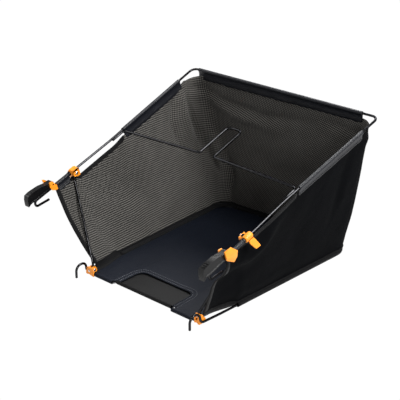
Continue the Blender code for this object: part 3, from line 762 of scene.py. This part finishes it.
def build_sleeves():
    for label, side in SIDES:
        for kind, span, depth, steps, round_off in (("front", (-0.003, 0.04), 0.0185, 20, 0.003),
                                                    ("side", (0.242, 0.4785), 0.025, 72, 0.004)):
            stations = spaced(*span, steps)
            middles = [rail_point(side, s) for s in stations]
            tails = [rail_way(side, s) for s in stations]
            sewn_sleeve(f"{kind}_band_{label}", f"{kind}_seam_{label}_", f"{kind}_sleeve_{label}", middles,
                        tails, depth, span[1] - span[0], depth - 0.005, 0.0015, corners=round_off)
    xs = spaced(0.252, -0.277, 120)
    bar = rail_point(1, RAIL_END)
    middles = [Vector((x, bar.y, bar.z)) for x in xs]
    tails = [Vector((0, 0.1 + 0.05 * math.sin(x * 9.0), -1)).normalized() for x in xs]
    sewn_sleeve("rear_band", "rear_seam_", "rear_sleeve", middles, tails, 0.0255, xs[0] - xs[-1], 0.019,
                0.0016, waviness=0.0014, corners=0.004)


def wall_index(side, s):
    """The wall's column at s on one side."""
    u = min(1.0, max(0.0, (s - PANEL_S[0]) / (PANEL_S[1] - PANEL_S[0])))
    i = round(u * SIDE_STEPS)
    return i if side > 0 else len(WALL) - 1 - i


def wall_tape(name, node, lines, normals):
    tape = edge_tape(name, lines, normals, 0.0012, 0.0012)
    place(tape, "lower_frame", node, slot="binding_tape", squash=True)


def build_tapes():
    for label, side in SIDES:
        order = (2, 1, 0) if side > 0 else (-3, -2, -1)
        lines, normals = [WALL[i] for i in order], [WALL_NORMALS[i] for i in order]
        wall_tape("front_edge_tape_" + label, "front_binding_" + label, lines, normals)

        first, last = sorted((wall_index(side, 0.04), wall_index(side, 0.24)))
        lines, normals = ([[grid[i][j] for i in range(first, last + 1)] for j in (3, 2, 1, 0)]
                          for grid in (WALL, WALL_NORMALS))
        wall_tape("top_edge_tape_" + label, "top_binding_" + label, lines, normals)
        seam = [p + n * 0.0019 for p, n in zip(lines[1], normals[1])]
        stitches("top_edge_seam_" + label, seam, "lower_frame", TAPE, squash=True)


FLOOR_INSET = 0.0066
CUT_HALF, CUT_DEPTH, CUT_CORNER = 0.088, 0.09, 0.02
FLOOR_FRONT = 0.0065
FLOOR_TOP = 0.0046
REAR_INNER = REAR_LENGTH - FLOOR_INSET
CORNER_INNER = CORNER_R - FLOOR_INSET


def floor_start(x):
    """y of the floor cloth's front edge at x, round the cut-out."""
    x = abs(x)
    flat = CUT_HALF - CUT_CORNER
    if x <= flat:
        return CUT_DEPTH
    if x < CUT_HALF:
        return CUT_DEPTH - CUT_CORNER + math.sqrt(max(0.0, CUT_CORNER ** 2 - (x - flat) ** 2))
    return FLOOR_FRONT + 0.007 * (1 - smooth_step(x, 0.098, 0.1045))


def floor_finish(x):
    """y of the floor cloth's rear edge at x."""
    x = abs(x)
    flat = REAR_HALF - FLOOR_INSET - CORNER_INNER
    bow = REAR_BOW * 0.7 * (1 - (min(x, flat) / flat) ** 2)
    if x <= flat:
        return REAR_INNER + bow
    return REAR_INNER - CORNER_INNER + math.sqrt(max(0.0, CORNER_INNER ** 2 - (x - flat) ** 2))


def floor_height(x, y):
    """The floor cloth's gentle swell: it is held at its edges and lies on the sheet in front."""
    swell = noise.noise(Vector((x * 9.0, y * 6.0, 1.7))) * 0.0016
    swell += noise.noise(Vector((x * 26.0, y * 17.0, 5.2))) * 0.0006
    edge = floor_half(y) - abs(x)
    held = smooth_step(edge, 0.005, 0.04) * smooth_step(y, 0.01, 0.06)
    return FLOOR_TOP + (swell + 0.0007) * held


def floor_columns():
    half = FRONT_HALF - FLOOR_INSET
    inner = [CUT_HALF * math.sin(math.radians(a)) for a in range(0, 90, 6)]
    outer = [CUT_HALF + (half - CUT_HALF) * (i / 26) for i in range(27)]
    right = inner + [CUT_HALF - 0.00001] + [CUT_HALF + 0.0004] + outer[1:]
    return [x / half for x in [-x for x in right[:0:-1]] + right], half


def build_floor():
    shares, half = floor_columns()
    rows = []
    for u in shares:
        start, end = floor_start(u * half), floor_finish(u * (REAR_HALF - FLOOR_INSET))
        column = []
        for k in range(71):
            y = start + (end - start) * k / 70
            x = u * (floor_half(y) - FLOOR_INSET - front_pull(y) * smooth_step(abs(u), 0.6, 1.0))
            column.append(floor_point(x, y, floor_height(x, y)))
        rows.append(column)
    normals = [[Vector((0, 0, 1))] * len(column) for column in rows]
    floor = cloth("floor_cloth", rows, 0.0011, [NAVY], normals)
    place(floor, "lower_frame", "floor_sheet", slot="coated_fabric")

    edge = [floor_point(CUT_HALF, y, 0) for y in spaced(FLOOR_FRONT + 0.001, CUT_DEPTH - CUT_CORNER, 14)]
    for a in range(8, 91, 8):
        angle = math.radians(a)
        edge.append(floor_point(CUT_HALF - CUT_CORNER + CUT_CORNER * math.cos(angle),
                                CUT_DEPTH - CUT_CORNER + CUT_CORNER * math.sin(angle), 0))
    edge.append(floor_point(CUT_HALF / 3, CUT_DEPTH, 0))
    edge = mirrored(edge, bridge=[floor_point(0, CUT_DEPTH, 0)])
    hem = tube("cut_out_hem", offset_path(edge, 0.0004, 0.0004), 0.0014, NAVY, sides=10)
    place(hem, "lower_frame", slot="coated_fabric")
    for i, out in enumerate((0.005, 0.0145)):
        stitches(f"cut_out_seam_{i}", offset_path(edge, out, 0.0009), "lower_frame")


def offset_path(path, out, lift):
    """A path on the floor moved away from the cut-out, and laid on the cloth."""
    moved = []
    for i, point in enumerate(path):
        way = (path[min(i + 1, len(path) - 1)] - path[max(i - 1, 0)]).normalized()
        there = point + Vector((way.y, -way.x, 0)) * out
        moved.append(Vector((there.x, there.y, floor_height(there.x, there.y - FRONT_Y) + lift)))
    return moved


def foot_round():
    """Places round the foot of the wall with the way inwards, from the right front to the left front."""
    feet = [column[-1] for column in WALL]
    found = []
    for i, foot in enumerate(feet):
        way = feet[min(i + 1, len(feet) - 1)] - feet[max(i - 1, 0)]
        way.z = 0
        way.normalize()
        found.append((foot, Vector((-way.y, way.x, 0))))
    return found


def build_foot_tape():
    rows = []
    for foot, inwards in foot_round():
        lift = foot.z - PANEL_FOOT_Z
        profile = ((0.0011, 0.0035 + lift), (0.001, 0.0005 + lift), (0.002, -0.003 + lift * 0.6),
                   (0.0045, -0.0066), (0.0075, -0.008), (0.0105, -0.0081))
        rows.append([Vector((foot.x, foot.y, PANEL_FOOT_Z)) + inwards * a + Vector((0, 0, b))
                     for a, b in profile])
    tape = cloth("foot_seam_tape", rows, 0.0008, [TAPE])
    place(tape, "lower_frame", slot="binding_tape")
    bead = [foot - inwards * 0.0014 + Vector((0, 0, 0.0008)) for foot, inwards in foot_round()]
    place(tube("foot_piping", bead, 0.0013, TAPE, sides=10), "lower_frame", slot="binding_tape")


BAND_DEPTH, BAND_RISE = 0.0098, 0.12


def floor_hems():
    """The sleeves that hold the floor to its wires: name, places on the wire, tails, depth, CAD node."""
    hems = []
    for label, side in SIDES:
        path = [floor_point(side * floor_half(y), y, FLOOR_WIRE_Z) for y in spaced(0.118, 0.47, 48)]
        corner = [p for p in floor_wire_path() if side * p.x > 0.15 and p.y > path[-1].y + 0.004]
        path += corner[::side]
        tails = []
        for i in range(len(path)):
            way = path[min(i + 1, len(path) - 1)] - path[max(i - 1, 0)]
            tails.append(Vector((-side * way.y, side * way.x, BAND_RISE * way.length)).normalized())
        hems.append(("floor_band_" + label, path, tails, BAND_DEPTH, "floor_sleeve_" + label))
        xs = spaced(side * 0.0995, side * 0.16, 20)
        hems.append(("front_tab_" + label, [floor_point(x, 0.0, CROSS_WIRE_Z) for x in xs],
                     [Vector((0, 1, -0.08))] * len(xs), 0.022, "front_hem_" + label))
    rearmost = max(p.y for p in floor_wire_path())
    path = [Vector((x, rearmost - REAR_BOW * (x / 0.168) ** 2, FLOOR_WIRE_Z))
            for x in spaced(0.158, -0.158, 60)]
    tails = [Vector((0, -1, BAND_RISE))] * len(path)
    hems.append(("floor_band_rear", path, tails, BAND_DEPTH, "floor_sleeve_rear"))
    return hems


def build_floor_hems():
    for name, middles, tails, depth, node in floor_hems():
        wire, material, radius = (("floor_frame_rod", TAPE, 0.0054) if "band" in name
                                  else ("front_cross_rod", NAVY, 0.0044))
        hem = sleeve(name, middles, tails, depth, material, radius=radius, leg=0.0007, corners=0.003)
        place(hem, "lower_frame", node, slot="coated_fabric")


build_sleeves()
build_tapes()
build_floor()
build_foot_tape()
build_floor_hems()


# ---- Fittings ----
def add_prism(bm, outline, thickness, matrix, bevel=0.0006, raised=None):
    """A flat piece with rounded edges. raised is two corners of one face and how far they are lifted:
    the face folds along the line between them."""
    piece = bmesh.new()
    area = sum(a[0] * b[1] - b[0] * a[1] for a, b in zip(outline, outline[1:] + outline[:1]))
    outline = outline[::1 if area > 0 else -1]
    low = [piece.verts.new((x, y, -thickness / 2)) for x, y in outline]
    high = [piece.verts.new((x, y, thickness / 2)) for x, y in outline]
    piece.faces.new(low[::-1])
    piece.faces.new(high)
    for i in range(len(outline)):
        j = (i + 1) % len(outline)
        piece.faces.new((low[i], low[j], high[j], high[i]))
    if raised:
        corners = [high[outline.index(corner)] for corner in raised[0]]
        bmesh.ops.connect_verts(piece, verts=corners)
        for corner in corners:
            corner.co.z += raised[1]
    bmesh.ops.bevel(piece, geom=[e for e in piece.edges if e.calc_face_angle(0) > 0.15],
                    offset=bevel, segments=2, profile=0.6, affect="EDGES")
    mesh = bpy.data.meshes.new("piece")
    piece.transform(matrix)
    piece.to_mesh(mesh)
    piece.free()
    bm.from_mesh(mesh)
    bpy.data.meshes.remove(mesh)


def add_turned(bm, start, end, profile, segments=32):
    """A turned piece: profile pairs of (share of the way from start to end, radius). A closed loop of
    pairs leaves a bore."""
    axis = end - start
    way = axis.normalized()
    across = way.orthogonal().normalized()
    other = way.cross(across)
    closed = profile[0] == profile[-1]
    rings = []
    for share, radius in profile[:-1] if closed else profile:
        points = ring(start + axis * share, across, other, radius, segments)
        rings.append([bm.verts.new(point) for point in points])
    pairs = list(zip(rings, rings[1:])) + ([(rings[-1], rings[0])] if closed else [])
    for first, second in pairs:
        for k in range(segments):
            m = (k + 1) % segments
            bm.faces.new((first[k], first[m], second[m], second[k]))
    if not closed:
        bm.faces.new(rings[0][::-1])
        bm.faces.new(rings[-1])


def collar(inner, outer, edge=0.12):
    """The profile of a ring with a bore, its outer edges rounded."""
    soft = (outer - inner) * 0.18
    return [(0.0, inner), (0.0, outer - soft), (edge * 0.4, outer - soft * 0.3), (edge, outer),
            (1 - edge, outer), (1 - edge * 0.4, outer - soft * 0.3), (1.0, outer - soft), (1.0, inner),
            (0.0, inner)]


def dome(radius):
    return [(0.0, radius), (0.35, radius), (0.65, radius * 0.86), (0.88, radius * 0.55),
            (1.0, radius * 0.12)]


def fitting(name, bm, material, body, *replaced, slot=None):
    mesh = bpy.data.meshes.new(name)
    bmesh.ops.recalc_face_normals(bm, faces=bm.faces)
    bm.to_mesh(mesh)
    bm.free()
    mesh.materials.append(material)
    mesh.polygons.foreach_set("use_smooth", [True] * len(mesh.polygons))
    mesh.set_sharp_from_angle(angle=math.radians(38))
    return place(link(bpy.data.objects.new(name, mesh)), body, *replaced, slot=slot)


def floor_matrix(x):
    return side_matrix(x, FRONT_Y, 0.0)


LATCH_PIN = (-0.017, 0.014)
INNER_EAR_Q, OUTER_EAR_Q = -0.0092, 0.0112
LATCH_Q = (-0.0068, 0.008)
EAR_T = 0.003
BARREL_SPAN = (0.046, 0.068)
INNER_PLATE_Q = STRUT_HEAD_X - RAIL_HALF - 0.0053


def arc(x, y, radius, start, end, count):
    angles = [math.radians(start + (end - start) * i / count) for i in range(count + 1)]
    return [(x + radius * math.cos(a), y + radius * math.sin(a)) for a in angles]


def strut_ends(side):
    foot = floor_point(side * STRUT_FOOT_X, PIN_Y, PIN_Z)
    head = rail_point(side, STRUT_HEAD_S)
    head.x = side * STRUT_HEAD_X
    return foot, head


def build_strut(label, side):
    foot, head = strut_ends(side)
    along = (head - foot).normalized()
    flat = Vector((0, along.y, along.z)).normalized()
    corners = [foot + flat * 0.004, foot + flat * 0.014, head - flat * 0.018, head - flat * 0.004]
    path = rounded_path(corners, [0.03, 0.03], steps=10)
    rod = tube("strut_rod_" + label, path, WIRE_R, WIRE, sides=20, ends=0.2)
    bm = bmesh.new()
    bm.from_mesh(rod.data)
    bpy.data.objects.remove(rod)
    half = Vector((WIRE_R, 0, 0))
    for end in (foot, head):
        add_turned(bm, end - half, end + half, collar(0.0025, 0.0056, 0.2))
    fitting("strut_bar_" + label, bm, WIRE, label + "_strut", "strut_" + label, slot="black_wire")


def build_upper_fitting(label, side):
    s0, s1 = BARREL_SPAN
    bm = bmesh.new()
    add_turned(bm, rail_point(side, s0), rail_point(side, s1), collar(0.0034, 0.008, 0.08), 40)
    cheek = [(0.0455, -0.0052), (0.061, -0.0112), (0.0645, -0.0105), (0.0655, 0.0085), (0.0635, 0.0105),
             (0.048, 0.0105), (0.046, 0.0085)]
    roof = [(s0, 0.0062), (0.065, 0.0062), (0.065, 0.0085), (0.063, 0.0105), (0.048, 0.0105),
            (s0, 0.0085)]
    if side > 0:   # the arm is lower here
        cheek = cheek[:3] + [(0.0655, 0.0022), (0.046, 0.0022)]
        roof = [(s, n - 0.0085) for s, n in roof]
    low, high = INNER_PLATE_Q - EAR_T / 2, 0.001
    add_prism(bm, cheek, EAR_T, rail_matrix(side, INNER_PLATE_Q), 0.0007)
    add_prism(bm, roof, high - low, rail_matrix(side, (low + high) / 2), 0.0009)
    lean = Matrix.Rotation(side * math.radians(-27.5), 4, "X")
    tab = [(0.0505, -0.005), (0.0655, -0.005), (0.0672, -0.011), (0.0702, -0.0285), (0.069, -0.03),
           (0.056, -0.0285), (0.0552, -0.027), (0.0497, -0.011)]
    add_prism(bm, tab, 0.0028, rail_matrix(side, 0.006) @ lean, 0.0008)
    fitting("rail_connector_" + label, bm, ORANGE, label + "_connector", "upper_connector_" + label,
            slot="orange_plastic")

    head = strut_ends(side)[1]
    face = RAIL_HALF + low
    start = Vector((side * (face - 0.0002), head.y, head.z))
    bm = bmesh.new()
    add_turned(bm, start, start - Vector((side * 0.0022, 0, 0)), dome(0.0042))
    add_turned(bm, start, Vector((side * (STRUT_HEAD_X + 0.0051), head.y, head.z)),
               [(0.0, 0.0022), (0.97, 0.0022), (1.0, 0.0019)], 20)
    fitting("rail_rivet_" + label, bm, STEEL, label + "_connector", "upper_rivet_" + label,
            slot="steel_rivet")

    bm = bmesh.new()
    add_turned(bm, rail_point(side, 0.04), rail_point(side, 0.0452), collar(0.0031, 0.0056, 0.2))
    fitting("rail_stop_" + label, bm, BLACK, "top_frame", "stop_ring_" + label, slot="black_wire")


def build_clip(label, side):
    inner = [(-0.027, 0.012), (-0.0245, 0.0235), (-0.015, 0.0215), (-0.011, 0.012), (-0.008, 0.004),
             (-0.008, -0.0058), (-0.013, -0.0058), (-0.0235, 0.0005)]
    if side < 0:
        outer = [(-0.027, 0.015), (-0.0285, 0.029), (-0.024, 0.027), (-0.006, 0.006),
                 (-0.006, -0.006), (-0.013, -0.006)]
    else:
        outer = [(-0.028, 0.0042), (-0.028, 0.014), (-0.028, 0.028), (-0.006, 0.025),
                 (0.0078, 0.006), (0.0034, -0.0088), (-0.009, -0.0146)]
    base = [(-0.0125, -0.0062), (-0.007, -0.0062), (-0.007, 0.0062), (-0.0125, 0.0062)]
    bm = bmesh.new()
    add_prism(bm, inner, EAR_T, rail_matrix(side, INNER_EAR_Q), 0.0007)
    fold = ([outer[1], outer[4]], 0.0016) if side > 0 else None
    add_prism(bm, outer, EAR_T, rail_matrix(side, OUTER_EAR_Q), 0.0007, raised=fold)
    low, high = INNER_EAR_Q - EAR_T / 2, OUTER_EAR_Q + EAR_T / 2
    add_prism(bm, base, high - low - 0.001, rail_matrix(side, (low + high) / 2), 0.0007)
    add_turned(bm, rail_point(side, -0.0135), rail_point(side, -0.006), collar(0.0032, 0.0058, 0.1))
    fitting("mower_clip_" + label, bm, ORANGE, "top_frame", "front_clip_" + label, slot="orange_plastic")

    bm = bmesh.new()
    ends = [rail_point(side, *LATCH_PIN, q=q) for q in (low - 0.001, high - 0.0004)]
    add_turned(bm, *ends, [(0.0, 0.0014), (0.02, 0.0018), (0.98, 0.0018), (1.0, 0.0014)], 24)
    fitting("lever_pin_" + label, bm, BLACK, "top_frame", "latch_pin_" + label, slot="black_plastic")


def build_lever(label, side):
    """A hollow thumb lever, open below, with a rim round each side face and ribs for the thumb."""
    pin_s, pin_n = LATCH_PIN
    outline = arc(pin_s, pin_n, 0.0066, -95, 85, 12)
    outline += [(-0.03, 0.0215), (-0.049, 0.027), (-0.068, 0.0292), (-0.08, 0.03),
                (-0.0915, 0.0285), (-0.096, 0.02), (-0.0985, 0.008), (-0.099, 0.002),
                (-0.0935, 0.0045), (-0.088, 0.0058), (-0.074, 0.0042), (-0.024, 0.0042)]
    pocket = [(-0.027, 0.0), (-0.027, 0.0175), (-0.049, 0.024), (-0.068, 0.0263), (-0.08, 0.027),
              (-0.09, 0.0255), (-0.0932, 0.019), (-0.095, 0.011), (-0.095, 0.0)]
    low, high = LATCH_Q
    middle = rail_matrix(side, (low + high) / 2)
    bm = bmesh.new()
    add_prism(bm, outline, high - low, middle, 0.0011)
    inset_sides(bm, middle, (high - low) / 2)
    shell = fitting("shell", bm, BLACK, label + "_latch")
    hollow = bmesh.new()
    add_prism(hollow, pocket, high - low - 0.0044, middle, 0.0003)
    cutter = fitting("hollow", hollow, BLACK, label + "_latch")
    step = shell.modifiers.new("hollow", "BOOLEAN")
    step.operation, step.object, step.solver = "DIFFERENCE", cutter, "EXACT"
    bpy.context.view_layer.update()
    made = bpy.data.meshes.new_from_object(shell.evaluated_get(bpy.context.evaluated_depsgraph_get()))
    bm = bmesh.new()
    bm.from_mesh(made)
    for old in (shell, cutter):
        bpy.data.objects.remove(old)
    for k in range(3):
        s = -0.074 - 0.0056 * k
        n = 0.0296 + 0.0003 * (1 - abs(k - 1))
        ends = [rail_point(side, s, n, q) for q in (low + 0.0016, high - 0.0016)]
        add_turned(bm, ends[0], ends[1], [(0.0, 0.0004), (0.04, 0.0011), (0.96, 0.0011), (1.0, 0.0004)], 14)
    fitting("thumb_lever_" + label, bm, BLACK, label + "_latch", "latch_lever_" + label,
            slot="black_plastic")


def inset_sides(bm, matrix, half):
    """Sink the middle of each side face a little inside a rim."""
    back = matrix.inverted()
    flat = [f for f in bm.faces if abs(abs((back @ f.calc_center_median()).z) - half) < 1e-5
            and f.calc_area() > 2e-4]
    bmesh.ops.inset_individual(bm, faces=flat, thickness=0.003, depth=0.0)
    bmesh.ops.inset_individual(bm, faces=flat, thickness=0.0006, depth=-0.0007)


def build_lower_fitting(label, side):
    inner, outer = STRUT_FOOT_X - 0.0051, STRUT_FOOT_X + 0.0051
    ear = arc(PIN_Y, PIN_Z, 0.0085, 0, 180, 14) + [(PIN_Y - 0.0085, 0.0006), (PIN_Y + 0.0085, 0.0006)]
    bm = bmesh.new()
    for x in (inner, outer):
        add_prism(bm, ear, EAR_T, floor_matrix(side * x), 0.0007)
    low, high = inner - EAR_T / 2, outer + EAR_T / 2
    web = [(PIN_Y - 0.0078, 0.0012), (PIN_Y + 0.0078, 0.0012), (PIN_Y + 0.0078, 0.0044),
           (PIN_Y - 0.005, 0.0044), (PIN_Y - 0.0078, 0.0082)]
    add_prism(bm, web, high - low - 0.002, floor_matrix(side * (low + high) / 2), 0.0004)
    clamp = [(-0.0035, 0.0009), (0.0175, 0.0009), (0.0175, 0.0112), (0.0125, 0.0133), (0.004, 0.0168),
             (-0.0035, 0.0192)]
    start, end = high - 0.0012, FRONT_HALF - (0.004 if side > 0 else 0.003)
    add_prism(bm, clamp, end - start, floor_matrix(side * (start + end) / 2), 0.0009)
    # the front plate reaches to the right of either pin; on the right it lies behind the bent wire
    if side > 0:
        plate_x, plate_half, plate_y = STRUT_FOOT_X + 0.0023, 0.0088, FRONT_Y + 0.0042
    else:
        plate_x, plate_half, plate_y = -STRUT_FOOT_X + 0.0068, 0.0102, FRONT_Y - 0.005
    plate_turn = Matrix.Translation((plate_x, plate_y, 0.0)) @ Matrix.Rotation(math.radians(90), 4, "X")
    plate = [(-plate_half, 0.005), (plate_half, 0.001), (plate_half, 0.0235), (-plate_half, 0.0225)]
    add_prism(bm, plate, 0.0026, plate_turn, 0.0007)
    fitting("foot_connector_" + label, bm, ORANGE, "lower_frame", "lower_connector_" + label,
            slot="orange_plastic")

    y, z = FRONT_Y + PIN_Y, PIN_Z
    bm = bmesh.new()
    screw = Vector((plate_x - 0.0045, plate_y - 0.0012, 0.0135))
    add_turned(bm, screw, screw - Vector((0, 0.0016, 0)), dome(0.003))
    face = Vector((side * (low - 0.0002), y, z))
    add_turned(bm, face, face - Vector((side * 0.0022, 0, 0)), dome(0.0042))
    add_turned(bm, face, Vector((side * (high + 0.0006), y, z)),
               [(0.0, 0.0022), (0.97, 0.0022), (1.0, 0.0018)], 20)
    fitting("foot_rivet_" + label, bm, STEEL, "lower_frame", "lower_rivet_" + label, slot="steel_rivet")


for label, side in SIDES:
    build_strut(label, side)
    build_upper_fitting(label, side)
    build_clip(label, side)
    build_lever(label, side)
    build_lower_fitting(label, side)
for slot in bpy.data.objects["floor_stiffener"].material_slots:
    slot.material = STIFF


# ---- Light, floor and camera ----
def build_studio():
    made, _, shader = base_material("studio_floor", (0.0, 0.0, 0.0), 0.9, specular=0.0)
    half, below = 30, -0.0005
    corners = [(x, y, below) for x, y in ((-half, -half), (half, -half), (half, half), (-half, half))]
    floor = mesh_object("studio_floor", corners, [(0, 1, 2, 3)], [made])
    shader.inputs["Emission Color"].default_value = (1, 1, 1, 1)
    shader.inputs["Emission Strength"].default_value = 1.02
    world = bpy.data.worlds.new("studio")
    bpy.context.scene.world = world
    world.use_nodes = True
    world.node_tree.nodes["Background"].inputs["Color"].default_value = (1, 1, 1, 1)
    world.node_tree.nodes["Background"].inputs["Strength"].default_value = 0.32
    lights = (
        ("key_light", (2.3, 0.5, 2.2), (0.0, 0.1, 0.1), 1.5, 98.0),
        ("top_light", (0.6, 0.45, 2.6), (0.0, 0.1, 0.1), 0.9, 24.0),
        ("front_light", (2.3, -1.5, 1.35), (0.0, 0.0, 0.2), 0.55, 22.0),
        ("left_light", (-1.9, -0.7, 1.9), (0.0, 0.1, 0.1), 1.2, 20.0),
        ("rear_light", (-0.9, 2.0, 2.3), (0.0, 0.1, 0.2), 1.5, 100.0),
    )
    for name, position, target, size, power in lights:
        data = bpy.data.lights.new(name, "AREA")
        data.shape = "DISK"
        data.size = size
        data.energy = power
        light = link(bpy.data.objects.new(name, data))
        light.location = position
        light.rotation_euler = (Vector(target) - Vector(position)).to_track_quat("-Z", "Y").to_euler()


def build_camera():
    data = bpy.data.cameras.new("camera")
    data.lens, data.sensor_width = 99.0, 36.0
    camera = link(bpy.data.objects.new("camera", data))
    camera.location = (1.6408, FRONT_Y - 1.6078, 1.2648)
    camera.rotation_euler = (math.radians(66.2), 0.0, math.radians(42.12))
    bpy.context.scene.camera = camera
    bpy.context.scene.view_settings.view_transform = "Standard"


build_studio()
build_camera()
